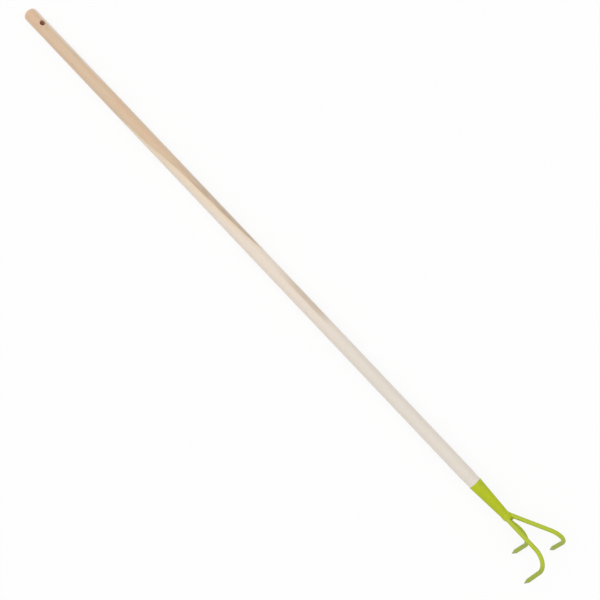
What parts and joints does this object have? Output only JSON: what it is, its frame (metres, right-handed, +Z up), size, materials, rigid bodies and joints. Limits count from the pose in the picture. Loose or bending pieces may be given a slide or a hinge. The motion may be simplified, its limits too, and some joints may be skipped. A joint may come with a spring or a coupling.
{
  "type": "long handled cultivator claw",
  "caption": "Long round wooden handle in a conical steel socket with a centre tine and two splayed side tines, hooked for loosening soil.",
  "frame": {"origin": "centre of the hanging hole, on the handle's axis", "axes": "+X along the shaft's ground line towards the head, +Z up, with the tool lying on the floor on its left tine, its centre tine and the handle's end"},
  "size_m": [1.4366, 0.1147, 0.1116],
  "materials": {
    "ash": "satin",
    "green_paint": "gloss"
  },
  "bodies": {
    "root": {"handle": "ash", "socket": "green_paint", "fixing_screw": "green_paint", "tine_left": "green_paint", "tine_right": "green_paint", "tine_centre": "green_paint", "neck_weld": "green_paint"}
  },
  "joints": []
}
